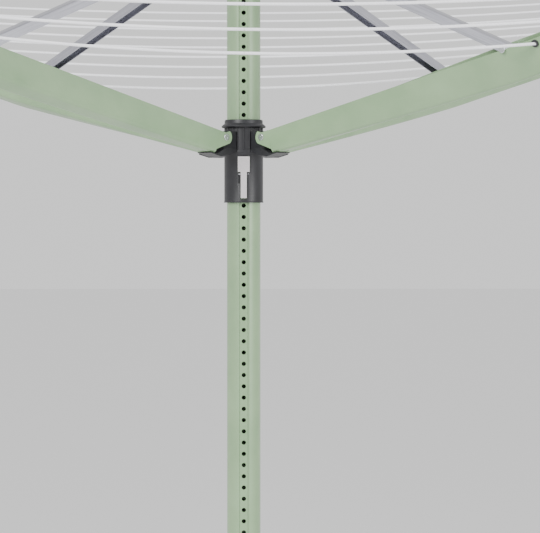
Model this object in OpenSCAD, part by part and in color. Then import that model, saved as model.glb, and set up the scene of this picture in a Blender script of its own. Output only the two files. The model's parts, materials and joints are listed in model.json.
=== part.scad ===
// Rotary clothesline: a turning mast, a slider with a sprung lever, four folding arms and their struts.
// The origin is on the mast's axis at ground level, +Z up. The mast's groove and the lever face -Y.

/* [Mast] */
// Height of the arm pivots above the ground with the dryer open
hub_height = 1480; // [1230:10:1780]
// Outer diameter of the mast tube
mast_d = 50; // [44:1:60]
// Wall thickness of the mast tube
mast_wall = 2.5; // [2:0.1:3]
// Width of the groove down the front of the mast
groove_w = 12.5; // [11:0.5:14]
// Depth of the groove
groove_depth = 3; // [2:0.5:4]
// Diameter of the locking holes
hole_d = 6.5; // [5.5:0.5:8]
// Wanted distance between locking holes
hole_pitch_wanted = 17; // [14:1:25]
// Length of mast that stands in the ground sleeve
mast_in_ground = 340; // [250:10:420]

/* [Ground sleeve] */
// Room between the mast and the bore of the ground sleeve
sleeve_room = 4; // [3:0.5:12]
// Wall thickness of the ground sleeve
sleeve_wall = 3; // [2:0.5:4]
// How far the sleeve's flange stands out
sleeve_flange_out = 16; // [12:1:30]
// Thickness of the sleeve's flange
sleeve_flange_t = 5; // [3:1:8]

/* [Arms] */
// Length of an arm from its pivot to the end of the channel
arm_length = 1600; // [1300:10:1800]
// Angle of an open arm above the horizontal
arm_rise = 13.2; // [8:0.1:16]
// Width of the arm channel
arm_w = 28; // [26:1:34]
// Wall thickness of the arm channel
arm_wall = 1.5; // [1.2:0.1:2]
// Depth of the arm channel at its root
arm_root_depth = 34; // [28:1:36]
// Depth of the arm channel at the strut joint
arm_mid_depth = 50; // [42:1:56]
// Depth of the arm channel at its tip
arm_tip_depth = 27; // [22:1:34]
// Distance of the arm pivots from the mast's surface
pivot_out = 25; // [23:1:31]

/* [Struts] */
// Distance along the arm from its pivot to the strut joint
strut_joint_at = 460; // [380:5:555]
// Height of the strut pivots above the arm pivots
strut_pivot_rise = 288; // [250:2:330]
// Width of a strut
strut_w = 20; // [18:0.5:21]
// Depth of a strut's side walls
strut_depth = 14; // [12:0.5:16]
// Wall thickness of a strut
strut_wall = 1.5; // [1.2:0.1:2]

/* [Lines] */
// Diameter of the washing line
line_d = 4; // [3:0.5:5]
// Distance along the arm from the strut joint to the innermost line
first_line_from_joint = 51; // [25:1:60]
// Distance along the arm between lines
line_pitch = 123; // [90:1:125]
// How far a line sags at mid-span, as a share of its span
line_sag_share = 0.026; // [0.005:0.001:0.03]

/* [Slider] */
// Wall thickness of the slider's grip
grip_wall = 2.5; // [2:0.25:4]
// Length of the grip below the neck
grip_length = 75; // [65:1:95]
// How far the crown's top flange stands out from the mast
crown_out = 8.3; // [6:0.1:11]
// Width of the lever's thumb pad
pad_w = 17.5; // [14:0.5:20]
// Height of the lever's thumb pad
pad_h = 22.8; // [18:0.5:26]
// Width of the lever's stem
stem_w = 8.9; // [7:0.1:11]

/* [Hidden] */
$fn = 64;
eps = 0.01;               // overlap that makes a cut or a join clean

// Clearances
running_gap = 0.05;       // radial clearance of a turning or sliding fit
pin_gap = 0.05;           // radial clearance of a rivet in its hole
free_gap = 0.4;           // gap between pieces of two bodies that pass each other

// Arm directions round the mast, one for each numbered arm: front right, rear right, rear left, front left
arm_count = 4;
arm_angles = [for (i = [0:arm_count - 1]) -45 + i * 360 / arm_count];
bisector = 180 / arm_count;

// Linkage: with the slider down by `travel`, arm and strut both stand upright
strut_length = norm([strut_joint_at * cos(arm_rise), strut_pivot_rise - strut_joint_at * sin(arm_rise)]);
travel = strut_joint_at + strut_length - strut_pivot_rise;
strut_angle = 180 - atan2(strut_pivot_rise - strut_joint_at * sin(arm_rise), strut_joint_at * cos(arm_rise));
hole_pitch = travel / round(travel / hole_pitch_wanted);

// Mast
mast_r = mast_d / 2;
mast_bore_r = mast_r - mast_wall;
groove_floor_y = mast_r - groove_depth;
mast_top = hub_height + strut_pivot_rise + 24;
mast_bottom = -mast_in_ground;
sleeve_d = mast_d + 2 * (sleeve_room + sleeve_wall);
sleeve_flange_d = sleeve_d + 2 * sleeve_flange_out;

// Slider, heights measured from the arm pivots
neck_r = mast_r + 3.5;
crown_d = mast_d + 2 * crown_out;
pivot_radius = mast_r + pivot_out;
liner_wall = 1.5;
liner_r = mast_r + running_gap + liner_wall;
grip_r = liner_r + grip_wall;
neck_top = 15;
neck_bottom = -18;
flange_bottom = -21.5;
crown_top = 27;
grip_bottom = flange_bottom - grip_length;
rib_count = 20;
rib_r = 1.1;

// Lever, heights measured from the arm pivots
pad_top = -28.2;
pad_bottom = pad_top - pad_h;
stem_bottom = -89.8;
lever_pivot_z = pad_bottom - 3;
lock_pin_z = -84.5;
lever_t = 2.6;
lever_gap = 0.75;
lever_back_y = -(grip_r - 0.2);
lever_front_y = lever_back_y - lever_t;
lever_pin_r = 1.25;
lever_boss_r = 2.6;
lever_axis_y = -(mast_r + running_gap + lever_pin_r + 0.7);
lock_pin_r = 2.5;
lock_pin_rise = 0.4;       // how far the pin climbs as the lever swings it into its hole
lock_pin_tip_y = -(mast_r - groove_depth + 1.2);

// Pivots
rivet_r = 3;
head_r = 5;
head_t = 1.6;
lug_w = arm_w - 2 * arm_wall - 2 * free_gap;
lug_r = 9;
nose_r = 11.5;
top_edge = 6.5;            // from the line of the pivots up to the arm's open edge
shoe_t = 2.5;              // thickness of the shoe under each arm
shoe_end = 26;             // how far the shoe reaches along the arm
shoe_drop = (arm_mid_depth - arm_root_depth) / strut_joint_at;
arm_floor_at = 16;         // where the channel's floor starts
hub_lug_w = strut_w - 2 * strut_wall - 4;
hub_lug_r = 6.5;
strut_web_at = 7;          // from a strut's pivots to the inner face of its web
strut_end = 7.5;

// Lines, distances along the arm from its pivot
first_line_at = strut_joint_at + first_line_from_joint;
line_count = floor((arm_length - 40 - first_line_at) / line_pitch) + 1;
line_at = [for (k = [0:line_count - 1]) first_line_at + k * line_pitch];
eyelet_r = 5.2;
eyelet_bore_r = line_d / 2 + 0.5;
eyelet_head_t = 1.6;
eyelet_inside = 1;

// Colours
green = [0.56, 0.66, 0.53];
black = [0.11, 0.11, 0.12];
light_grey = [0.72, 0.71, 0.71];
bare_metal = [0.75, 0.75, 0.77];
line_white = [0.93, 0.93, 0.95];

// ---- Places ----

// Moves something drawn in an arm's own frame (pivot at the origin, +X along the arm) to its place
module on_arm(i) {
    rotate([0, 0, arm_angles[i]])
        translate([pivot_radius, 0, hub_height])
            rotate([0, -arm_rise, 0]) children();
}

// The same for a strut: joint with the arm at the origin, +X towards the top hub, -Z on its open side
module on_strut(i) {
    rotate([0, 0, arm_angles[i]])
        translate([pivot_radius + strut_joint_at * cos(arm_rise), 0,
                   hub_height + strut_joint_at * sin(arm_rise)])
            rotate([0, -strut_angle, 0]) mirror([0, 0, 1]) children();
}

// A rod along Y, centred on the origin
module cross_rod(r, length) {
    rotate([90, 0, 0]) cylinder(h = length, r = r, center = true);
}

// A rivet along Y whose heads sit on the outside of something `grip` wide
module rivet(grip) {
    cross_rod(rivet_r, grip + 2 * head_t);
    for (side = [-1, 1])
        translate([0, side * (grip / 2 + head_t / 2), 0]) cross_rod(head_r, head_t);
}

// ---- Ground sleeve ----

module ground_sleeve() {
    color(black) difference() {
        union() {
            translate([0, 0, mast_bottom - 6]) cylinder(h = mast_in_ground + 6, d = sleeve_d);
            cylinder(h = sleeve_flange_t, d = sleeve_flange_d);
        }
        translate([0, 0, mast_bottom - 1])
            cylinder(h = mast_in_ground + sleeve_flange_t + 2, d = sleeve_d - 2 * sleeve_wall);
        translate([0, 0, mast_bottom - 7]) cylinder(h = 8, r = 6);
    }
}

module sleeve_bush() {
    lip_t = 3;
    color(black) difference() {
        union() {
            translate([0, 0, sleeve_flange_t - 60]) cylinder(h = 60, r = sleeve_d / 2 - sleeve_wall);
            translate([0, 0, sleeve_flange_t]) cylinder(h = lip_t, r = sleeve_d / 2 + 4);
        }
        translate([0, 0, sleeve_flange_t - 61])
            cylinder(h = 62 + lip_t, r = mast_r + running_gap);
    }
}

// ---- Mast ----

module mast_section() {
    difference() {
        circle(r = mast_r, $fn = 128);
        translate([-groove_w / 2, -mast_r - 1]) square([groove_w, groove_depth + 1]);
        difference() {
            circle(r = mast_bore_r, $fn = 128);
            translate([-groove_w / 2 - mast_wall, -mast_r - 1])
                square([groove_w + 2 * mast_wall, groove_depth + mast_wall + 1]);
        }
    }
}

module mast_tube() {
    lowest = hub_height + lock_pin_z + lock_pin_rise - travel - 3 * hole_pitch;
    highest = hub_height + strut_pivot_rise - 55;
    count = floor((highest - lowest) / hole_pitch);
    color(green) difference() {
        translate([0, 0, mast_bottom]) linear_extrude(mast_top - mast_bottom) mast_section();
        for (k = [0:count])
            translate([0, -groove_floor_y - 1, lowest + k * hole_pitch])
                rotate([-90, 0, 0]) cylinder(h = mast_wall + 2, d = hole_d, $fn = 32);
    }
}

module mast_foot() {
    plug_r = mast_bore_r - groove_depth - 0.2;
    color(black) union() {
        translate([0, 0, mast_bottom]) cylinder(h = 30, r = plug_r);
        translate([0, 0, mast_bottom - 0.7]) cylinder(h = 0.7, r = mast_r - 1);
    }
}

module top_hub() {
    height = 42;
    bottom = strut_pivot_rise - 18;
    color(black) translate([0, 0, hub_height]) difference() {
        union() {
            translate([0, 0, bottom]) cylinder(h = height, r = neck_r + 1);
            translate([0, 0, bottom]) cylinder(h = 3.5, r = neck_r + 3.5);
            translate([0, 0, bottom + height - 3.5]) cylinder(h = 3.5, r = neck_r + 3.5);
            for (a = arm_angles) rotate([0, 0, a]) translate([pivot_radius, 0, strut_pivot_rise]) hub_lug();
        }
        translate([0, 0, bottom - 1]) cylinder(h = height + 2, r = mast_r);
    }
}

// A tongue with an open saddle, so that a strut's rivet lifts out of it as the dryer folds
module hub_lug() {
    saddle_r = rivet_r + pin_gap;
    reach = pivot_radius - mast_r - 1;
    difference() {
        union() {
            cross_rod(hub_lug_r, hub_lug_w);
            rotate([90, 0, 0]) linear_extrude(hub_lug_w, center = true)
                polygon([[-reach, -14], [0, -hub_lug_r], [0, hub_lug_r], [-reach, hub_lug_r]]);
        }
        cross_rod(saddle_r, hub_lug_w + 1);
        rotate([90, 0, 0]) linear_extrude(hub_lug_w + 1, center = true)
            polygon([[-saddle_r, 0], [saddle_r * cos(-25), saddle_r * sin(-25)],
                     [hub_lug_r + 2, 0], [hub_lug_r + 2, hub_lug_r + 2], [-saddle_r, hub_lug_r + 2]]);
    }
}

module mast_cap() {
    dome_r = 60;
    base = mast_top;
    plug_r = mast_bore_r - groove_depth - 0.2;
    color(black) union() {
        translate([0, 0, base - 20]) cylinder(h = 20, r = plug_r);
        translate([0, 0, base]) intersection() {
            cylinder(h = 12, r = neck_r + 3);
            translate([0, 0, 8 - dome_r]) sphere(r = dome_r, $fn = 128);
        }
    }
}

// ---- Slider ----

module slider_crown() {
    bore_r = liner_r;
    color(black) translate([0, 0, hub_height]) difference() {
        union() {
            rotate_extrude($fn = 128) polygon([
                [mast_r, flange_bottom], [grip_r + 1.2, flange_bottom], [grip_r + 1.2, neck_bottom],
                [neck_r - 0.6, neck_bottom], [neck_r - 0.6, neck_top], [crown_d / 2 - 1.5, neck_top],
                [crown_d / 2, neck_top + 1.5], [crown_d / 2 - 0.6, neck_top + 3],
                [mast_r + 3.6, crown_top - 5.5], [mast_r + 3.6, crown_top - 2], [mast_r + 2.9, crown_top],
                [mast_r, crown_top]]);
            for (k = [0:rib_count - 1]) rotate([0, 0, k * 360 / rib_count])
                translate([neck_r - 0.6, 0, neck_bottom - eps])
                    cylinder(h = neck_top - neck_bottom + 2 * eps, r = rib_r, $fn = 24);
            for (a = arm_angles) rotate([0, 0, a]) translate([pivot_radius, 0, 0]) crown_lug();
        }
        translate([0, 0, flange_bottom - 1]) cylinder(h = crown_top - flange_bottom + 2, r = bore_r);
        for (a = arm_angles) rotate([0, 0, a]) translate([pivot_radius, 0, 0])
            cross_rod(rivet_r + pin_gap, lug_w + 1);
    }
}

// A tongue that carries the arm's rivet, and a shoe under it on which the open arm rests
module crown_lug() {
    reach = pivot_radius - liner_r - 0.5;
    shoe_z = -(arm_root_depth - top_edge) - free_gap;
    cross_rod(lug_r, lug_w);
    translate([-reach, -lug_w / 2, neck_bottom - 2]) cube([reach, lug_w, lug_r - neck_bottom + 2]);
    translate([-reach, -lug_w / 2, flange_bottom]) cube([reach + 4, lug_w, 14]);
    rotate([0, -arm_rise, 0]) rotate([90, 0, 0]) linear_extrude(arm_w, center = true)
        polygon([[-reach - 1, -12], [-4, -14], [12, shoe_z - 12 * shoe_drop],
                 [shoe_end, shoe_z - shoe_end * shoe_drop],
                 [shoe_end, shoe_z - shoe_end * shoe_drop - 1.5], [4, shoe_z - shoe_t],
                 [-12, -24], [-reach - 1, -16.5]]);
}

module slider_grip() {
    window_w = pad_w + 2 * lever_gap;
    slot_w = stem_w + 2 * lever_gap;
    top = flange_bottom;
    color(black) translate([0, 0, hub_height]) difference() {
        rotate_extrude($fn = 128) polygon([
            [liner_r, grip_bottom], [grip_r + 0.5, grip_bottom], [grip_r + 0.5, grip_bottom + 1.5],
            [grip_r, grip_bottom + 2.2], [grip_r, top - 2.2], [grip_r + 0.7, top - 0.8],
            [grip_r + 0.7, top], [liner_r, top]]);
        lever_pin_rod();
        translate([-window_w / 2, -grip_r - 5, pad_bottom - lever_gap])
            cube([window_w, grip_r - 10, pad_h + 2 * lever_gap]);
        translate([-slot_w / 2, -grip_r - 5, stem_bottom - lever_gap - 1])
            cube([slot_w, grip_r - 10, pad_bottom - stem_bottom + lever_gap + 1 + eps]);
        translate([-slot_w / 2 - 3.5, -grip_r - 5, pad_bottom - 17])
            cube([4, 6.2, 16]);
    }
}

module slider_liner() {
    slot_w = stem_w + 2 * lever_gap;
    window_w = pad_w + 2 * lever_gap;
    color(black) translate([0, 0, hub_height]) difference() {
        translate([0, 0, grip_bottom]) cylinder(h = crown_top - grip_bottom, r = liner_r);
        translate([0, 0, grip_bottom - 1])
            cylinder(h = crown_top - grip_bottom + 2, r = mast_r + running_gap);
        lever_pin_rod();
        translate([-window_w / 2, -grip_r - 5, pad_bottom - lever_gap])
            cube([window_w, grip_r - 10, pad_h + 2 * lever_gap]);
        translate([-slot_w / 2, -grip_r - 5, stem_bottom - lever_gap - 1])
            cube([slot_w, grip_r - 10, pad_bottom - stem_bottom + lever_gap + 1 + eps]);
    }
}

// The lever's pin, in the frame of the slider's pieces
module lever_pin_rod() {
    translate([0, lever_axis_y, lever_pivot_z]) rotate([0, 90, 0])
        cylinder(h = stem_w + 2 * lever_gap + 5, r = lever_pin_r, center = true, $fn = 32);
}

module lever_pivot_pin() {
    color(bare_metal) translate([0, 0, hub_height]) lever_pin_rod();
}

// A leaf behind the thumb pad that pushes it outwards
module lever_spring() {
    leaf_w = 6;
    color(bare_metal) translate([-leaf_w / 2, 0, hub_height]) rotate([90, 0, 90]) linear_extrude(leaf_w)
        polygon([[-mast_r - 0.6, pad_top + 0.6], [-mast_r - 1, pad_top + 0.6],
                 [lever_back_y + 0.1, pad_bottom + 6], [lever_back_y + 0.5, pad_bottom + 6]]);
}

module lock_lever() {
    color(light_grey) translate([0, 0, hub_height]) difference() {
        union() {
            translate([-pad_w / 2, lever_front_y, pad_bottom]) cube([pad_w, lever_t, pad_h]);
            translate([-stem_w / 2, lever_front_y, stem_bottom])
                cube([stem_w, lever_t, pad_bottom - stem_bottom + eps]);
            for (k = [0:8]) translate([0, lever_front_y, pad_top - 3 - k * 2.1])
                rotate([0, 90, 0]) cylinder(h = pad_w - 4, r = 0.5, center = true, $fn = 24);
            translate([0, lever_axis_y, lever_pivot_z]) rotate([0, 90, 0])
                cylinder(h = stem_w, r = lever_boss_r, center = true, $fn = 32);
        }
        translate([0, lever_axis_y, lever_pivot_z]) rotate([0, 90, 0])
            cylinder(h = stem_w + 1, r = lever_pin_r + pin_gap, center = true, $fn = 32);
        translate([0, lever_back_y - 1.6, lock_pin_z]) rotate([-90, 0, 0])
            cylinder(h = 5, r = lock_pin_r, $fn = 32);
    }
}

module lock_pin() {
    back = lever_back_y - 1.6;
    color(bare_metal) translate([0, back, hub_height + lock_pin_z]) rotate([-90, 0, 0])
        cylinder(h = lock_pin_tip_y - back, r = lock_pin_r, $fn = 32);
}

// ---- Arms ----

// The arm's outline from the side: round in front of the pivot, angled below it, deepest at the strut
module arm_side() {
    below = top_edge - arm_root_depth;
    polygon(concat(
        [[arm_length, top_edge - arm_tip_depth], [arm_length, top_edge], [2, top_edge]],
        [for (a = [120:15:210]) nose_r * [cos(a), sin(a)]],
        [[arm_floor_at, below - arm_floor_at * shoe_drop], [strut_joint_at, top_edge - arm_mid_depth]]));
}

// The hollow of the channel from the side, open at the top and at the root
module arm_hollow_side() {
    below = top_edge - arm_root_depth + arm_wall;
    polygon([[arm_length + 1, top_edge - arm_tip_depth + arm_wall], [arm_length + 1, top_edge + 5],
             [-nose_r - 5, top_edge + 5], [-nose_r - 5, below - arm_wall - 10],
             [arm_floor_at, below - arm_wall - 10], [arm_floor_at, below - arm_floor_at * shoe_drop],
             [strut_joint_at, top_edge - arm_mid_depth + arm_wall]]);
}

module arm_channel(i) {
    color(green) on_arm(i) difference() {
        rotate([90, 0, 0]) linear_extrude(arm_w, center = true) arm_side();
        rotate([90, 0, 0]) linear_extrude(arm_w - 2 * arm_wall, center = true) arm_hollow_side();
        cross_rod(rivet_r + pin_gap, arm_w + 1);
        translate([strut_joint_at, 0, 0]) cross_rod(rivet_r + pin_gap, arm_w + 1);
        for (x = line_at) translate([x, 0, 0]) cross_rod(eyelet_bore_r + 0.8, arm_w + 1);
    }
}

module arm_tip_cap(i) {
    inner_w = arm_w - 2 * arm_wall - 0.2;
    plug = 18;
    color(black) on_arm(i) translate([arm_length, 0, 0]) union() {
        translate([0, -arm_w / 2 - 0.8, top_edge - arm_tip_depth - 0.8])
            cube([7, arm_w + 1.6, arm_tip_depth + 1.6]);
        translate([-plug, -inner_w / 2, top_edge - arm_tip_depth + arm_wall + 0.5])
            cube([plug + eps, inner_w, arm_tip_depth - arm_wall - 0.5]);
    }
}

module arm_rivet(i) {
    color(bare_metal) on_arm(i) rivet(arm_w);
}

module line_eyelets(i) {
    color(black) on_arm(i) for (x = line_at, side = [-1, 1])
        translate([x, side * arm_w / 2, 0]) rotate([-90 * side, 0, 0]) difference() {
            union() {
                cylinder(h = eyelet_head_t, r = eyelet_r, $fn = 48);
                translate([0, 0, -arm_wall - eyelet_inside])
                    cylinder(h = arm_wall + eyelet_inside + eps, r = eyelet_bore_r + 0.8, $fn = 48);
            }
            translate([0, 0, -arm_wall - eyelet_inside - 1])
                cylinder(h = arm_wall + eyelet_inside + eyelet_head_t + 2, r = eyelet_bore_r, $fn = 48);
        }
}

// Half of a sagging span: starts at the origin, ends level at x = half_span, `sag` lower
module half_span_of_line(half_span, sag) {
    bend_r = (half_span * half_span + sag * sag) / (2 * sag);
    sweep = asin(half_span / bend_r);
    translate([half_span, 0, bend_r - sag]) rotate([90, 0, 0]) rotate([0, 0, -90 - sweep])
        rotate_extrude(angle = sweep, $fn = 360) translate([bend_r, 0]) circle(d = line_d, $fn = 16);
}

// All the half spans that leave one arm, both ways, each as far as the middle of its span
module washing_line(i) {
    end_gap = 0.15;
    start_y = arm_w / 2 + eyelet_head_t + 1;
    color(line_white) rotate([0, 0, arm_angles[i]]) for (x = line_at, side = [-1, 1]) {
        r = pivot_radius + x * cos(arm_rise);
        half_span = r * sin(bisector) - start_y * cos(bisector) - end_gap;
        translate([r, side * start_y, hub_height + x * sin(arm_rise)])
            rotate([0, 0, side * (90 + bisector)])
                half_span_of_line(half_span, 2 * half_span * line_sag_share);
    }
}

// ---- Struts ----

module strut_blank() {
    length = strut_length + 2 * strut_end;
    inner_w = strut_w - 2 * strut_wall;
    translate([-strut_end, 0, 0]) difference() {
        translate([0, -strut_w / 2, strut_web_at + strut_wall - strut_depth]) cube([length, strut_w, strut_depth]);
        translate([-1, -inner_w / 2, strut_web_at - strut_depth]) cube([length + 2, inner_w, strut_depth]);
    }
}

module strut(i) {
    color(bare_metal) on_strut(i) difference() {
        strut_blank();
        cross_rod(rivet_r + pin_gap, strut_w + 1);
        translate([strut_length, 0, 0]) cross_rod(rivet_r + pin_gap, strut_w + 1);
    }
}

module strut_joint_rivet(i) {
    color(bare_metal) on_arm(i) translate([strut_joint_at, 0, 0]) rivet(arm_w);
}

module strut_hub_rivet(i) {
    thin_head_t = 1.2;
    color(bare_metal) on_strut(i) translate([strut_length, 0, 0]) {
        cross_rod(rivet_r, strut_w + 2 * thin_head_t);
        for (side = [-1, 1]) translate([0, side * (strut_w + thin_head_t) / 2, 0])
            cross_rod(head_r, thin_head_t);
    }
}

ground_sleeve();
sleeve_bush();
mast_tube();
mast_foot();
top_hub();
mast_cap();
slider_crown();
slider_grip();
slider_liner();
lever_pivot_pin();
lever_spring();
lock_lever();
lock_pin();
for (i = [0:arm_count - 1]) {
    arm_channel(i);
    arm_tip_cap(i);
    arm_rivet(i);
    line_eyelets(i);
    washing_line(i);
    strut(i);
    strut_joint_rivet(i);
    strut_hub_rivet(i);
}
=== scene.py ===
# %% [markdown]
# # Rotary clothesline
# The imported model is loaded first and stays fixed. Everything made below is placed round it, in metres,
# and rides on one of its bodies, so that the dryer can turn, fold and lock without a piece left behind.

# %% Load the frame
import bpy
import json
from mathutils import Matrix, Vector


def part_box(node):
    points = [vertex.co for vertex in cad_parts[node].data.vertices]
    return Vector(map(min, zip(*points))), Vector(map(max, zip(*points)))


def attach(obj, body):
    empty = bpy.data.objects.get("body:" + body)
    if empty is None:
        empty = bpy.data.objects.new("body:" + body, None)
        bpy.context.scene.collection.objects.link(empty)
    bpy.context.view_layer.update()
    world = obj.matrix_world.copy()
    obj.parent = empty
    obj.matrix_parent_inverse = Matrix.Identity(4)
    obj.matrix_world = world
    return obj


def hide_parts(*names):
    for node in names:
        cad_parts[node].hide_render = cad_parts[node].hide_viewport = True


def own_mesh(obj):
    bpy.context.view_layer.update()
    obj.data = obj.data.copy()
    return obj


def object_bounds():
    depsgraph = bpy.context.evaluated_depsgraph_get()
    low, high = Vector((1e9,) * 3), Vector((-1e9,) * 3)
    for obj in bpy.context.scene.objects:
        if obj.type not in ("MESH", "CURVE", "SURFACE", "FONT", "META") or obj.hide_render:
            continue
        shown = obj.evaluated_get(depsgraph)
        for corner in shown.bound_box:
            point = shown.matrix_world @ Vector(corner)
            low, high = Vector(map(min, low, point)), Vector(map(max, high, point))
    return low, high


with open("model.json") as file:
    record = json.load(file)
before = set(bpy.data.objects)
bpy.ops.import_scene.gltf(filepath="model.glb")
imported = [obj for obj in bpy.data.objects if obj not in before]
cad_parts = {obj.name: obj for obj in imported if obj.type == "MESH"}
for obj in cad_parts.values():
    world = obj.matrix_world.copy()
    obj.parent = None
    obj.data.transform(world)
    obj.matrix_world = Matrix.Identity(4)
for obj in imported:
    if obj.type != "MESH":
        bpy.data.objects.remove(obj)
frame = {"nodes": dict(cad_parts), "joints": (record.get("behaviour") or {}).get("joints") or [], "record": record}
cad_low, cad_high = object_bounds()

# %% Modules and units
import json
import math
import bmesh
import bpy
from mathutils import Matrix, Vector

MM = 0.001
IDENTITY = Matrix.Identity(4)
SHARP_ANGLE = math.radians(32)

# %% [markdown]
# ## Where things are
# The mast's axis is the world's Z. Each arm has its own frame: the pivot at the origin, X along the arm,
# Y across it and Z up. Joint positions in the record give that frame, so nothing is measured twice.

# %% Driving places, read from the joints
joints = {joint["name"]: joint for joint in frame["joints"]}
ARMS = (1, 2, 3, 4)
hub_z = joints["arm_hinge_1"]["pos_m"][2]


def arm_frame(k):
    pivot = Vector(joints[f"arm_hinge_{k}"]["pos_m"])
    strut_joint = Vector(joints[f"strut_hinge_{k}"]["pos_m"])
    along = (strut_joint - pivot).normalized()
    across = -Vector(joints[f"arm_hinge_{k}"]["axis"])
    up = along.cross(across).normalized()
    rotation = Matrix((along, across, up)).transposed().to_4x4()
    return Matrix.Translation(pivot) @ rotation


strut_joint_at = (Vector(joints["strut_hinge_1"]["pos_m"]) - Vector(joints["arm_hinge_1"]["pos_m"])).length
pivot_radius = Vector(joints["arm_hinge_1"]["pos_m"]).to_2d().length
print("hub at", round(hub_z, 3), "m, strut joint", round(strut_joint_at, 4), "m along the arm")

# %% [markdown]
# ## Camera
# A long lens from about 3.1 m, 10 cm below the arm pivots and straight in front of the lever, looks down by
# under two degrees. The whole width of the picture is then about 0.8 m at the mast.

# %% Camera
camera_distance = 3.088
camera_drop = 0.102
camera_azimuth = math.radians(-0.1)
camera_pitch = math.radians(-1.67)
camera_turn = math.radians(0.73)
lens_mm = 137.5
camera = bpy.data.objects.new("camera", bpy.data.cameras.new("camera"))
bpy.context.scene.collection.objects.link(camera)
camera.data.lens = lens_mm
camera.data.sensor_width = 36
camera.data.clip_end = 100
camera.location = (camera_distance * math.sin(camera_azimuth), -camera_distance * math.cos(camera_azimuth),
                   hub_z - camera_drop)
camera.rotation_euler = (math.pi / 2 + camera_pitch, 0, camera_azimuth - camera_turn)
bpy.context.scene.camera = camera
print("camera at", [round(v, 3) for v in camera.location])

# %% [markdown]
# ## Floor and light
# A pale floor lies under the sleeve. The light is that of a white studio: a bright even surround, a large
# soft panel to the upper left and a weaker one to the right, so that the round mast keeps a soft highlight.

# %% Colour and node helpers


def linear(code):
    """An sRGB hex colour as the linear numbers that Blender's shaders work in."""
    values = [int(code[i:i + 2], 16) / 255 for i in (1, 3, 5)]
    return [v / 12.92 if v <= 0.04045 else ((v + 0.055) / 1.055) ** 2.4 for v in values] + [1.0]


def add_node(tree, kind, sockets=None, **settings):
    """Adds one node, sets its properties, and fills its sockets with values or links."""
    node = tree.nodes.new(kind)
    for name, value in settings.items():
        setattr(node, name, value)
    for name, value in (sockets or {}).items():
        if isinstance(value, bpy.types.NodeSocket):
            tree.links.new(value, node.inputs[name])
        else:
            node.inputs[name].default_value = value
    return node


# %% Floor, surround and lamps
FLOOR_HALF = 40
floor_mesh = bpy.data.meshes.new("floor")
floor_mesh.from_pydata([(-FLOOR_HALF, -FLOOR_HALF, 0), (FLOOR_HALF, -FLOOR_HALF, 0),
                        (FLOOR_HALF, FLOOR_HALF, 0), (-FLOOR_HALF, FLOOR_HALF, 0)], [], [(0, 1, 2, 3)])
floor = bpy.data.objects.new("floor", floor_mesh)
floor.location.z = cad_low.z - 1 * MM
bpy.context.scene.collection.objects.link(floor)
floor_paint = bpy.data.materials.new("studio_floor")
floor_paint.use_nodes = True
floor_shader = floor_paint.node_tree.nodes["Principled BSDF"]
floor_shader.inputs["Base Color"].default_value = linear("#F4F4F4")
floor_shader.inputs["Roughness"].default_value = 0.9
floor_mesh.materials.append(floor_paint)

world = bpy.data.worlds.new("white_studio")
world.use_nodes = True
background = world.node_tree.nodes["Background"]
background.inputs["Color"].default_value = linear("#FFFFFF")
background.inputs["Strength"].default_value = 1.0
bpy.context.scene.world = world


def soft_panel(name, place, size, power):
    lamp = bpy.data.lights.new(name, "AREA")
    lamp.shape = "RECTANGLE"
    lamp.size, lamp.size_y = size
    lamp.energy = power
    panel = bpy.data.objects.new(name, lamp)
    panel.location = place
    direction = Vector((0, 0, hub_z)) - panel.location
    panel.rotation_euler = direction.to_track_quat("-Z", "Y").to_euler()
    bpy.context.scene.collection.objects.link(panel)


soft_panel("key_panel", (-2.6, -3.2, 3.4), (1.6, 2.4), 210)
soft_panel("fill_panel", (3.0, -2.6, 2.2), (1.2, 2.4), 110)
print("studio ready")

# %% [markdown]
# ## Materials
# Each finish is worked out from the real one. Patterns read the "local" attribute where a piece has one: it
# holds each point's place in the piece's own frame, so grain and brushing follow the piece, not the world.

# %% Material helpers


def new_material(name):
    material = bpy.data.materials.new(name)
    material.use_nodes = True
    return material, material.node_tree, material.node_tree.nodes["Principled BSDF"]


def noise(tree, where, size_mm, detail=2.0, stretch=(1, 1, 1)):
    """Noise whose grains are about size_mm across, stretched along the axes."""
    scaled = add_node(tree, "ShaderNodeMapping", {"Vector": where, "Scale": stretch})
    return add_node(tree, "ShaderNodeTexNoise",
                    {"Vector": scaled.outputs["Vector"], "Scale": 1 / (size_mm * MM), "Detail": detail})


def bump(tree, shader, height, depth_mm, strength=1.0):
    made = add_node(tree, "ShaderNodeBump",
                    {"Height": height, "Distance": depth_mm * MM, "Strength": strength})
    tree.links.new(made.outputs["Normal"], shader.inputs["Normal"])


def two_tone(tree, shader, factor, low, high, span=(0.3, 0.7)):
    """Colours the surface between two close tones."""
    ramp = add_node(tree, "ShaderNodeValToRGB", {"Fac": factor})
    ramp.color_ramp.elements[0].position, ramp.color_ramp.elements[1].position = span
    ramp.color_ramp.elements[0].color, ramp.color_ramp.elements[1].color = linear(low), linear(high)
    tree.links.new(ramp.outputs["Color"], shader.inputs["Base Color"])


def roughness_range(tree, shader, factor, low, high):
    span = add_node(tree, "ShaderNodeMapRange", {"Value": factor, "To Min": low, "To Max": high})
    tree.links.new(span.outputs["Result"], shader.inputs["Roughness"])


# %% [markdown]
# ### Powder-coated aluminium
# The mast and arms are extruded aluminium under a sage green polyester powder coat. The coat cures with a
# fine orange-peel skin, about 1 mm from crest to crest; it is drawn at 3 mm so that it shows. Over a longer
# reach the tone shifts a little, because the film isn't equally thick everywhere.

# %% Powder coat


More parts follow.
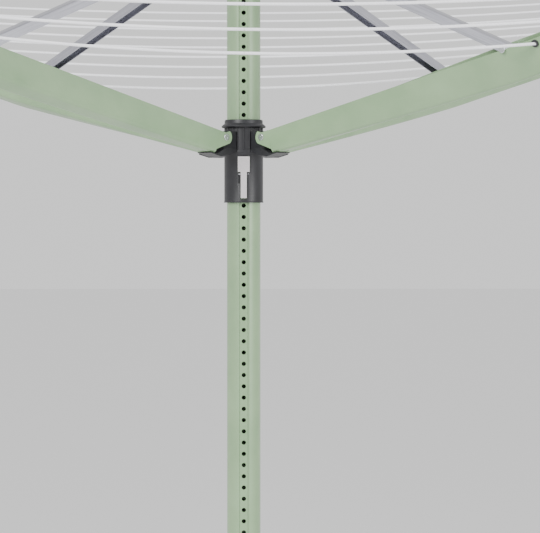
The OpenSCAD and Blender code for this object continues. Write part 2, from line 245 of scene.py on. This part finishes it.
def sage_powder_coat():
    material, tree, shader = new_material("sage_powder_coat")
    where = add_node(tree, "ShaderNodeTexCoord").outputs["Object"]
    drift = noise(tree, where, 60, detail=3)
    peel = noise(tree, where, 3, detail=2)
    two_tone(tree, shader, drift.outputs["Fac"], "#7F9C76", "#8AA680")
    roughness_range(tree, shader, peel.outputs["Fac"], 0.28, 0.38)
    shader.inputs["Specular IOR Level"].default_value = 0.5
    shader.inputs["Coat Weight"].default_value = 0.15
    shader.inputs["Coat Roughness"].default_value = 0.3
    bump(tree, shader, peel.outputs["Fac"], 0.05, 0.5)
    return material


powder_coat = sage_powder_coat()
print("made", powder_coat.name)

# %% [markdown]
# ### Moulded plastics
# The slider, hubs and caps are black polypropylene from a spark-eroded mould, which leaves a grain of about
# 1 mm, and its tone drifts a little. The lever is light grey ABS, smoother and a bit glossier.

# %% Plastics


def moulded_plastic(name, low, high, roughness, grain_mm):
    material, tree, shader = new_material(name)
    where = add_node(tree, "ShaderNodeTexCoord").outputs["Object"]
    grain = noise(tree, where, grain_mm, detail=3)
    drift = noise(tree, where, 25, detail=2)
    two_tone(tree, shader, drift.outputs["Fac"], low, high)
    roughness_range(tree, shader, grain.outputs["Fac"], roughness - 0.06, roughness + 0.06)
    bump(tree, shader, grain.outputs["Fac"], 0.08, 0.4)
    return material


black_polypropylene = moulded_plastic("black_polypropylene", "#1B1B1E", "#242428", 0.42, 1.2)
grey_abs = moulded_plastic("light_grey_abs", "#BDB8BA", "#C6C2C3", 0.38, 0.9)
print("made", black_polypropylene.name, grey_abs.name)

# %% [markdown]
# ### Metals
# The struts are bare extruded aluminium: the die leaves fine lines along them, about 0.3 mm apart, drawn at
# 1 mm. The rivets, pins and the leaf spring are bright zinc-plated steel. Metals keep the default IOR.

# %% Metals


def extruded_aluminium():
    material, tree, shader = new_material("extruded_aluminium")
    local = add_node(tree, "ShaderNodeAttribute", attribute_name="local").outputs["Vector"]
    lines = noise(tree, local, 1, detail=4, stretch=(0.01, 1, 1))
    two_tone(tree, shader, lines.outputs["Fac"], "#A9A9B2", "#C3C3CB")
    roughness_range(tree, shader, lines.outputs["Fac"], 0.26, 0.42)
    shader.inputs["Metallic"].default_value = 1.0
    shader.inputs["Anisotropic"].default_value = 0.4
    bump(tree, shader, lines.outputs["Fac"], 0.03, 0.4)
    return material


def zinc_plated_steel():
    material, tree, shader = new_material("zinc_plated_steel")
    where = add_node(tree, "ShaderNodeTexCoord").outputs["Object"]
    mottle = noise(tree, where, 2, detail=3)
    two_tone(tree, shader, mottle.outputs["Fac"], "#C2C3C8", "#DADBDF")
    roughness_range(tree, shader, mottle.outputs["Fac"], 0.18, 0.32)
    shader.inputs["Metallic"].default_value = 1.0
    return material


bare_aluminium = extruded_aluminium()
bright_zinc = zinc_plated_steel()
print("made", bare_aluminium.name, bright_zinc.name)

# %% [markdown]
# ### Washing line
# The line is a white PVC sleeve over a fibre core. It is soft and slightly see-through at the skin, so it
# scatters a little light, and the core's lay prints through as a faint ripple every few millimetres. A
# diagonal wave texture of scale 1 repeats every 0.2 pi metres along an axis, which gives the scale below.

# %% Line


LAY_PITCH = 7 * MM


def white_pvc():
    material, tree, shader = new_material("white_pvc_line")
    local = add_node(tree, "ShaderNodeAttribute", attribute_name="local").outputs["Vector"]
    ripple_scale = 0.2 * math.pi / LAY_PITCH
    lay = add_node(tree, "ShaderNodeTexWave", {"Vector": local, "Scale": ripple_scale, "Distortion": 0.4},
                   wave_type="BANDS", bands_direction="DIAGONAL")
    two_tone(tree, shader, lay.outputs["Fac"], "#F0F0F4", "#F4F4F8", (0.1, 0.9))
    shader.inputs["Roughness"].default_value = 0.4
    shader.inputs["Subsurface Weight"].default_value = 0.1
    shader.inputs["Subsurface Radius"].default_value = (0.002, 0.002, 0.002)
    bump(tree, shader, lay.outputs["Fac"], 0.04, 0.3)
    return material


line_pvc = white_pvc()
print("made", line_pvc.name)

# %% [markdown]
# ## Mesh helpers
# Most pieces are made as a bmesh in their own frame and then moved into the model's frame. Before the move
# each point's own place is stored in "local", which the materials read.

# %% Mesh helpers


def finish_piece(name, mesh, place, body, material, replaced=()):
    local = mesh.verts.layers.float_vector.new("local")
    for vert in mesh.verts:
        vert[local] = vert.co
    bmesh.ops.transform(mesh, matrix=place, verts=mesh.verts)
    if place.determinant() < 0:
        bmesh.ops.reverse_faces(mesh, faces=mesh.faces)
    data = bpy.data.meshes.new(name)
    mesh.to_mesh(data)
    mesh.free()
    data.materials.append(material)
    data.shade_smooth()
    data.set_sharp_from_angle(angle=SHARP_ANGLE)
    piece = bpy.data.objects.new(name, data)
    bpy.context.scene.collection.objects.link(piece)
    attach(piece, body)
    if replaced:
        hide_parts(*replaced)
    return piece


def loft(mesh, rings):
    """Joins rings of points, each a closed loop of equal count, with quads, and caps the ends."""
    loops = [[mesh.verts.new(point) for point in ring] for ring in rings]
    count = len(loops[0])
    for a, b in zip(loops, loops[1:]):
        for i in range(count):
            j = (i + 1) % count
            mesh.faces.new((a[i], a[j], b[j], b[i]))
    mesh.faces.new(loops[0][::-1])
    mesh.faces.new(loops[-1])


def span(start, stop, step):
    """Even stations from start to stop, about step apart, both ends included."""
    count = max(1, round((stop - start) / step))
    return [start + (stop - start) * i / count for i in range(count + 1)]


# %% [markdown]
# ## Pieces that keep their CAD shape
# The CAD solids have sharp edges. A moulding never does, and an edge without a small round catches no
# light. Each of these nodes is copied, its flat faces are joined up again, its edges get a small bevel and
# the copy stands for the node.

# %% Bevelled copies of CAD nodes


def bevelled_copy(node, body, material, edge_mm):
    mesh = bmesh.new()
    mesh.from_mesh(frame["nodes"][node].data)
    bmesh.ops.remove_doubles(mesh, verts=mesh.verts, dist=1e-6)
    bmesh.ops.dissolve_limit(mesh, angle_limit=math.radians(1), verts=mesh.verts, edges=mesh.edges)
    piece = finish_piece(node + "_finished", mesh, IDENTITY, body, material, [node])
    rounding = piece.modifiers.new("edge_round", "BEVEL")
    rounding.width = edge_mm * MM
    rounding.segments = 2
    rounding.limit_method = "ANGLE"
    rounding.angle_limit = SHARP_ANGLE
    rounding.harden_normals = False
    rounding.use_clamp_overlap = True
    return piece


finishes = {
    "ground_sleeve": (black_polypropylene, 0.5), "sleeve_bush": (black_polypropylene, 0.5),
    "mast_foot": (black_polypropylene, 0.4), "top_hub": (black_polypropylene, 0.6),
    "mast_cap": (black_polypropylene, 0.8), "slider_crown": (black_polypropylene, 0.5),
    "slider_grip": (black_polypropylene, 0.4), "slider_liner": (black_polypropylene, 0.2),
    "lock_lever": (grey_abs, 0.35), "lever_pivot_pin": (bright_zinc, 0.2),
    "lever_spring": (bright_zinc, 0.1), "lock_pin": (bright_zinc, 0.5)}
for k in ARMS:
    finishes[f"arm_tip_cap_{k}"] = (black_polypropylene, 0.8)
    finishes[f"arm_rivet_{k}"] = (bright_zinc, 0.6)
    finishes[f"line_eyelets_{k}"] = (black_polypropylene, 0.3)
    finishes[f"strut_joint_rivet_{k}"] = (bright_zinc, 0.6)
    finishes[f"strut_hub_rivet_{k}"] = (bright_zinc, 0.4)
bodies = {node: body for body, nodes in frame["record"]["behaviour"]["bodies"].items() for node in nodes}
copies = {node: bevelled_copy(node, bodies[node], material, edge_mm)
          for node, (material, edge_mm) in finishes.items()}
print("bevelled", len(copies), "nodes")

# %% [markdown]
# ## Mast
# The mast is one extrusion: a round tube with a groove pressed down its front. The lips of the groove are
# rounded, which is where its bright vertical highlights come from. The locking holes are punched through
# the groove's floor. The profile is drawn point by point, pulled up into a tube, and the holes are cut.

# %% Mast sizes
mast_low, mast_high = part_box("mast_tube")
mast_r = mast_high.x
mast_wall = 2.5 * MM
groove_half = 6.25 * MM
groove_depth = 3 * MM
lip_r = 1.7 * MM
hole_r = 3.25 * MM
PITCH_NEAR = 17 * MM
hole_rows = sorted({round(v.co.z, 4) for v in frame["nodes"]["mast_tube"].data.vertices
                    if mast_low.z + 1 * MM < v.co.z < mast_high.z - 1 * MM})
first_hole = hole_rows[0] + hole_r
last_hole = hole_rows[-1] - hole_r
travel = joints["slider_travel"]["range_m"][1]
hole_pitch = travel / round(travel / PITCH_NEAR)
hole_count = round((last_hole - first_hole) / hole_pitch)
hole_heights = [first_hole + (last_hole - first_hole) * i / hole_count for i in range(hole_count + 1)]
print(len(hole_heights), "locking holes, pitch", round((last_hole - first_hole) / hole_count / MM, 2), "mm")


# %% Mast profile and holes
def arc(centre, radius, start, stop, steps):
    """Points of an arc; angles in degrees, either way round."""
    return [(centre[0] + radius * math.cos(math.radians(start + (stop - start) * i / steps)),
             centre[1] + radius * math.sin(math.radians(start + (stop - start) * i / steps)))
            for i in range(steps + 1)]


def full_outline():
    """The outside of the section: right lip, round the back, left lip."""
    lip_x = groove_half + lip_r
    lip_y = -math.sqrt((mast_r - lip_r) ** 2 - lip_x ** 2)
    meets = math.degrees(math.atan2(lip_y, lip_x))
    floor_y = -(mast_r - groove_depth)
    fillet = 0.6 * MM
    right = arc((groove_half - fillet, floor_y - fillet), fillet, 90, 0, 4)
    right += arc((lip_x, lip_y), lip_r, 180, 360 + meets, 6)
    back = arc((0, 0), mast_r, meets, 180 - meets, 96)[1:-1]
    return right + back + [(-x, y) for x, y in reversed(right)]


def build_mast():
    mesh = bmesh.new()
    outline = full_outline()
    inner_r = mast_r - mast_wall
    box_x = groove_half + mast_wall
    box_y = -(mast_r - groove_depth - mast_wall)
    meets = math.degrees(math.atan2(-math.sqrt(inner_r ** 2 - box_x ** 2), box_x))
    inner = [(box_x - 1 * MM, box_y)] + arc((0, 0), inner_r, meets, 180 - meets, 64)
    inner += [(-box_x + 1 * MM, box_y)]
    rims = []
    for z in (mast_low.z, mast_high.z):
        outer_ring = [mesh.verts.new((x, y, z)) for x, y in outline]
        inner_ring = [mesh.verts.new((x, y, z)) for x, y in inner]
        rims.append((outer_ring, inner_ring))
    for ring, flip in ((0, False), (1, True)):
        low, high = rims[0][ring], rims[1][ring]
        for i in range(len(low)):
            j = (i + 1) % len(low)
            quad = (low[i], low[j], high[j], high[i])
            mesh.faces.new(quad[::-1] if flip else quad)
    for outer_ring, inner_ring in rims:
        edges = []
        for ring in (outer_ring, inner_ring):
            edges += [mesh.edges.get((ring[i], ring[(i + 1) % len(ring)])) for i in range(len(ring))]
        bmesh.ops.triangle_fill(mesh, use_beauty=True, edges=edges)
    bmesh.ops.recalc_face_normals(mesh, faces=mesh.faces)
    return finish_piece("mast_extrusion", mesh, IDENTITY, "mast", powder_coat,
                        ["mast_tube"])


def punch_holes(piece):
    cutter = bmesh.new()
    for z in hole_heights:
        place = Matrix.Translation((0, -(mast_r - groove_depth), z)) @ Matrix.Rotation(math.pi / 2, 4, "X")
        bmesh.ops.create_cone(cutter, segments=28, radius1=hole_r, radius2=hole_r, depth=12 * MM,
                              cap_ends=True, matrix=place)
    data = bpy.data.meshes.new("hole_cutter")
    cutter.to_mesh(data)
    cutter.free()
    tool = bpy.data.objects.new("hole_cutter", data)
    bpy.context.scene.collection.objects.link(tool)
    cut = piece.modifiers.new("holes", "BOOLEAN")
    cut.object = tool
    cut.operation = "DIFFERENCE"
    cut.solver = "EXACT"
    apply_modifiers(piece)
    bpy.data.objects.remove(tool)


def apply_modifiers(piece):
    graph = bpy.context.evaluated_depsgraph_get()
    graph.update()
    data = bpy.data.meshes.new_from_object(piece.evaluated_get(graph))
    piece.modifiers.clear()
    piece.data = data


mast = build_mast()
punch_holes(mast)
mast.data.set_sharp_from_angle(angle=SHARP_ANGLE)
print("mast:", len(mast.data.polygons), "faces")

# %% [markdown]
# ## Arms
# An arm is a U-channel, open on top, with well rounded lower corners. It is deepest at the strut joint and
# tapers to the tip. The pull of the line twists each arm a little about its own length, the same way round
# on all four, so one side's floor and the other side's open top come into view.

# %% Arm sizes
ARM_WALL = 1.5 * MM
TOP_EDGE = 6.5 * MM
ROOT_DEPTH, MID_DEPTH, TIP_DEPTH = 34 * MM, 50 * MM, 27 * MM
FLOOR_AT = 16 * MM
NOSE_R = 11.5 * MM
CORNER_R = 6 * MM
half_width = 14 * MM
TWIST_DEG = 27
ARM_LENGTH = 1600 * MM


def depth_at(x):
    if x < strut_joint_at:
        return ROOT_DEPTH + (MID_DEPTH - ROOT_DEPTH) * x / strut_joint_at
    return MID_DEPTH + (TIP_DEPTH - MID_DEPTH) * (x - strut_joint_at) / (ARM_LENGTH - strut_joint_at)


def twist_at(x):
    """Degrees of twist: none at the root, full at the strut joint, little at the tip."""
    if x < strut_joint_at:
        return TWIST_DEG * max(0, x) / strut_joint_at
    share = min(1, (x - strut_joint_at) / (ARM_LENGTH - strut_joint_at))
    return TWIST_DEG * (1 - 0.7 * share * share * (3 - 2 * share))


def twisted(x, y, z, turn):
    """A point of an arm's frame, turned about the arm's length by turn degrees."""
    c, s = math.cos(math.radians(turn)), math.sin(math.radians(turn))
    return Vector((x, y * c - z * s, y * s + z * c))


def channel_ring(x):
    """The closed outline of the U-section at x: down the left wall, round the floor, up, and back inside."""
    depth = depth_at(x)
    floor_z = TOP_EDGE - depth
    lip = 0.5 * ARM_WALL
    outer = [(-half_width, TOP_EDGE - lip)]
    outer += arc((-half_width + CORNER_R, floor_z + CORNER_R), CORNER_R, 180, 270, 6)
    outer += arc((half_width - CORNER_R, floor_z + CORNER_R), CORNER_R, 270, 360, 6)
    outer += [(half_width, TOP_EDGE - lip)]
    outer += arc((half_width - lip, TOP_EDGE - lip), lip, 30, 150, 4)
    inner_r = CORNER_R - ARM_WALL
    inner = [(half_width - ARM_WALL, TOP_EDGE - lip)]
    inner += arc((half_width - CORNER_R, floor_z + CORNER_R), inner_r, 0, -90, 6)
    inner += arc((-half_width + CORNER_R, floor_z + CORNER_R), inner_r, 270, 180, 6)
    inner += [(-half_width + ARM_WALL, TOP_EDGE - lip)]
    inner += arc((-half_width + lip, TOP_EDGE - lip), lip, 30, 150, 4)
    return [twisted(x, y, z, twist_at(x)) for y, z in outer + inner]


def nose_ear(mesh, side):
    """The plain wall in front of the floor: a rounded nose with an angled cut under it."""
    bottom = TOP_EDGE - depth_at(FLOOR_AT) + CORNER_R
    outline = [(FLOOR_AT, bottom), (FLOOR_AT, TOP_EDGE), (2 * MM, TOP_EDGE)]
    outline += arc((0, 0), NOSE_R, 118, 218, 12)
    y_out, y_in = side * half_width, side * (half_width - ARM_WALL)
    rings = [[(x, y, z) for x, z in outline] for y in (y_in, y_out)]
    loft(mesh, rings)


def build_arm(k):
    mesh = bmesh.new()
    loft(mesh, [channel_ring(x) for x in span(FLOOR_AT, ARM_LENGTH, 24 * MM)])
    for side in (-1, 1):
        nose_ear(mesh, side)
    bmesh.ops.recalc_face_normals(mesh, faces=mesh.faces)
    return finish_piece(f"arm_extrusion_{k}", mesh, arm_frame(k), f"arm_{k}", powder_coat,
                        [f"arm_channel_{k}"])


for k in ARMS:
    build_arm(k)
print("built", len(ARMS), "arms, twisted", TWIST_DEG, "degrees at the strut joint")

# %% [markdown]
# ## Struts
# A strut is a lighter channel of bare aluminium, open underneath, with a rivet at each end. It is lofted
# along its own length so that the die lines run along it.

# %% Struts
STRUT_HALF = 10 * MM
STRUT_WALL = 1.5 * MM
STRUT_WEB = 8.5 * MM
STRUT_DEPTH = 14 * MM
STRUT_END = 7.5 * MM
STRUT_CORNER = 2 * MM


def strut_frame(k):
    """Origin at the joint with the arm, X towards the top hub, Z on the side of the web."""
    foot = Vector(joints[f"strut_hinge_{k}"]["pos_m"])
    low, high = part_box(f"strut_hub_rivet_{k}")
    along = ((low + high) / 2 - foot)
    across = -Vector(joints[f"strut_hinge_{k}"]["axis"])
    across = (across - along.normalized() * across.dot(along.normalized())).normalized()
    up = along.normalized().cross(across)
    if up.z < 0:
        up = -up
        across = -across
    rotation = Matrix((along.normalized(), across, up)).transposed().to_4x4()
    return Matrix.Translation(foot) @ rotation, along.length


def strut_ring(x):
    low_z = STRUT_WEB - STRUT_DEPTH
    outer = [(STRUT_HALF, low_z)] + arc((STRUT_HALF - STRUT_CORNER, STRUT_WEB - STRUT_CORNER), STRUT_CORNER,
                                        0, 90, 4)
    outer += arc((-STRUT_HALF + STRUT_CORNER, STRUT_WEB - STRUT_CORNER), STRUT_CORNER, 90, 180, 4)
    outer += [(-STRUT_HALF, low_z)]
    inner = [(-STRUT_HALF + STRUT_WALL, low_z), (-STRUT_HALF + STRUT_WALL, STRUT_WEB - STRUT_WALL),
             (STRUT_HALF - STRUT_WALL, STRUT_WEB - STRUT_WALL), (STRUT_HALF - STRUT_WALL, low_z)]
    return [(x, y, z) for y, z in outer + inner]


for k in ARMS:
    place, length = strut_frame(k)
    mesh = bmesh.new()
    loft(mesh, [strut_ring(x) for x in span(-STRUT_END, length + STRUT_END, 30 * MM)])
    bmesh.ops.recalc_face_normals(mesh, faces=mesh.faces)
    finish_piece(f"strut_extrusion_{k}", mesh, place, f"strut_{k}", bare_aluminium,
                 [f"strut_{k}"])
print("built struts", round(length, 4), "m between rivets")

# %% [markdown]
# ## Washing line
# Nine rings of line join the arms. A line held at both ends hangs in a shallow curve: over such a small sag
# an arc of a circle can't be told from the true catenary. Each half span leaves an eyelet and ends at
# mid-span.

# %% Line sizes, read from the eyelets
LINE_R = 2 * MM
SAG_SHARE = 0.026
LINE_SIDES = 10
EYELET_FACE = 15.6 * MM
END_GAP = 0.15 * MM
EYELET_INNER_END = half_width - ARM_WALL + 0.3 * MM
RIVET_REACH = 2.4 * MM
HALF_SPAN_STEPS = 18
FIRST_LINE, LINE_PITCH, LINE_COUNT = strut_joint_at + 51 * MM, 123 * MM, 9
line_at = [FIRST_LINE + i * LINE_PITCH for i in range(LINE_COUNT)]
rise = math.asin((arm_frame(1).to_3x3() @ Vector((1, 0, 0))).z)
bisector = math.pi / len(ARMS)


def turn_with_arm(piece, k, turn_of):
    """Turns a copy's points about its arm by turn_of(x) degrees."""
    to_arm = arm_frame(k).inverted()
    for vert in piece.data.vertices:
        local = to_arm @ vert.co
        vert.co = arm_frame(k) @ twisted(*local, turn_of(local.x))


def twist_of_nearest_line(x):
    return twist_at(min(line_at, key=lambda place: abs(place - x)))


def cut_back_inside(piece, k):
    """Ends the eyelets within the wall, because the folded strut lies close to the twisted walls."""
    to_arm = arm_frame(k).inverted()
    for vert in piece.data.vertices:
        local = to_arm @ vert.co
        local.y = math.copysign(max(abs(local.y), EYELET_INNER_END), local.y)
        vert.co = arm_frame(k) @ local


def joint_rivet_reach(piece, k):
    """Moves a rivet's heads out to the twisted walls; the rivet itself stays in line with the strut."""
    to_arm = arm_frame(k).inverted()
    for vert in piece.data.vertices:
        local = to_arm @ vert.co
        if abs(local.y) > half_width - 1 * MM:
            local.y += math.copysign(RIVET_REACH, local.y)
            vert.co = arm_frame(k) @ local


for k in ARMS:
    cut_back_inside(copies[f"line_eyelets_{k}"], k)
    turn_with_arm(copies[f"line_eyelets_{k}"], k, twist_of_nearest_line)
    turn_with_arm(copies[f"arm_tip_cap_{k}"], k, lambda x: twist_at(ARM_LENGTH))
    joint_rivet_reach(copies[f"strut_joint_rivet_{k}"], k)
print("eyelets and caps turned with the arms")


def half_span_path(x, side):
    """Points of one half span in the arm's level frame: X outwards, Y across, Z up, pivot at the origin.
    The twisted arm lifts one side's eyelets and lowers the other's; that fades out towards mid-span."""
    clear = EYELET_FACE + 1 * MM
    to_level = Matrix.Rotation(-rise, 3, "Y")
    shift = to_level @ (twisted(x, side * EYELET_FACE, 0, twist_at(x)) - Vector((x, side * EYELET_FACE, 0)))
    start = Vector((x * math.cos(rise), side * (EYELET_FACE - 3 * MM), x * math.sin(rise)))
    radius = pivot_radius + start.x
    leave = Vector((start.x, side * clear, start.z))
    heading = Vector((-math.sin(bisector), side * math.cos(bisector), 0))
    half = radius * math.sin(bisector) - clear * math.cos(bisector) - END_GAP
    sag = 2 * half * SAG_SHARE
    bend_r = (half * half + sag * sag) / (2 * sag)
    points = [start + shift]
    for i in range(HALF_SPAN_STEPS + 1):
        reach = half * i / HALF_SPAN_STEPS
        drop = math.sqrt(bend_r ** 2 - (half - reach) ** 2) - (bend_r - sag)
        points.append(leave + heading * reach - Vector((0, 0, drop)) + shift * (1 - i / HALF_SPAN_STEPS))
    return points


def tube_rings(points, radius, sides):
    """Rings round a path, each square to it, with no spin from one to the next."""
    rings = []
    normal = Vector((0, 0, 1))
    for i, point in enumerate(points):
        ahead = points[min(i + 1, len(points) - 1)] - points[max(i - 1, 0)]
        ahead.normalize()
        normal = (normal - ahead * normal.dot(ahead)).normalized()
        other = ahead.cross(normal)
        rings.append([point + (normal * math.cos(2 * math.pi * s / sides)
                               + other * math.sin(2 * math.pi * s / sides)) * radius for s in range(sides)])
    return rings


def build_lines(k, side):
    angle = math.atan2(joints[f"arm_hinge_{k}"]["pos_m"][1], joints[f"arm_hinge_{k}"]["pos_m"][0])
    level = Matrix.Translation(joints[f"arm_hinge_{k}"]["pos_m"]) @ Matrix.Rotation(angle, 4, "Z")
    mesh = bmesh.new()
    for x in line_at:
        loft(mesh, tube_rings(half_span_path(x, side), LINE_R, LINE_SIDES))
    bmesh.ops.recalc_face_normals(mesh, faces=mesh.faces)
    which = "right" if side > 0 else "left"
    replaced = [f"washing_line_{k}"] if side > 0 else ()
    piece = finish_piece(f"washing_line_{k}_{which}", mesh, level, f"arm_{k}", line_pvc,
                         replaced)
    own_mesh(piece)
    return piece


for k in ARMS:
    for side in (-1, 1):
        build_lines(k, side)
half_spans = [(pivot_radius + x * math.cos(rise)) * math.sin(bisector) for x in line_at]
print("lines:", LINE_COUNT, "rings,", round(2 * len(ARMS) * sum(half_spans), 1), "m in all")
